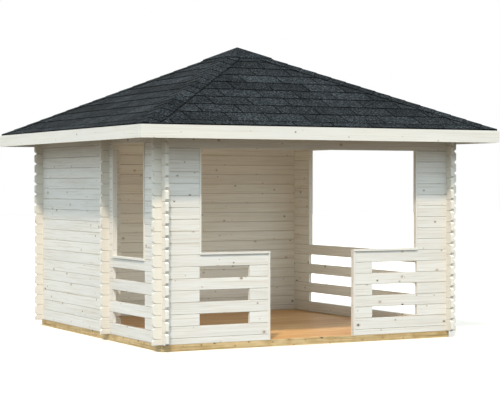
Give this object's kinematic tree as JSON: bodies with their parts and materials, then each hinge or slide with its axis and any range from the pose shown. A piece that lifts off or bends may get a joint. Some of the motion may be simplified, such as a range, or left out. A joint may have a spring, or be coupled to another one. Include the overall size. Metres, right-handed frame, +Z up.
{
  "type": "garden gazebo",
  "caption": "Square log-built garden gazebo with a solid back wall, unglazed openings, slatted log railings, a doorway and a hipped shingle roof.",
  "frame": {"origin": "on the ground under the middle of the roof, at the bottom centre of the whole object's box", "axes": "+X to the right seen from the doorway side, +Y from the doorway wall to the solid back wall, +Z up"},
  "size_m": [4.05, 4.05, 3.099],
  "materials": {
    "wall_logs": "planed softwood logs, pale translucent stain with knots showing",
    "trim_boards": "planed softwood boards, pale translucent stain",
    "bearer_timber": "sawn softwood, pressure treated",
    "floor_boards": "planed softwood boards, oiled, honey coloured",
    "roof_timber": "planed softwood, bare",
    "shingle": "mineral-surfaced bitumen felt shingles, matt charcoal"
  },
  "bodies": {
    "root": {"front_and_back_bearers": "bearer_timber", "side_bearers": "bearer_timber", "floor_joists": "bearer_timber", "floor": "floor_boards", "front_bottom_logs": "wall_logs", "front_left_pier": "wall_logs", "front_right_pier": "wall_logs", "front_rails": "wall_logs", "front_spacers": "wall_logs", "front_top_logs": "wall_logs", "back_wall": "wall_logs", "left_rear_wall": "wall_logs", "left_front_pier": "wall_logs", "left_rails": "wall_logs", "left_top_logs": "wall_logs", "stiffener_wall": "wall_logs", "right_rear_pier": "wall_logs", "right_front_pier": "wall_logs", "right_rails": "wall_logs", "right_top_logs": "wall_logs", "railing_end_boards": "trim_boards", "railing_caps": "trim_boards", "front_jambs": "trim_boards", "side_jambs": "trim_boards", "side_sills": "trim_boards", "hip_rafters": "roof_timber", "rafters_front": "roof_timber", "rafters_back": "roof_timber", "rafters_left": "roof_timber", "rafters_right": "roof_timber", "apex_block": "roof_timber", "roof_boards_front": "roof_timber", "roof_boards_back": "roof_timber", "roof_boards_left": "roof_timber", "roof_boards_right": "roof_timber", "fascia_front": "trim_boards", "fascia_back": "trim_boards", "fascia_left": "trim_boards", "fascia_right": "trim_boards", "shingles_front": "shingle", "shingles_back": "shingle", "shingles_left": "shingle", "shingles_right": "shingle", "hip_caps": "shingle", "apex_cap": "shingle"}
  },
  "joints": []
}
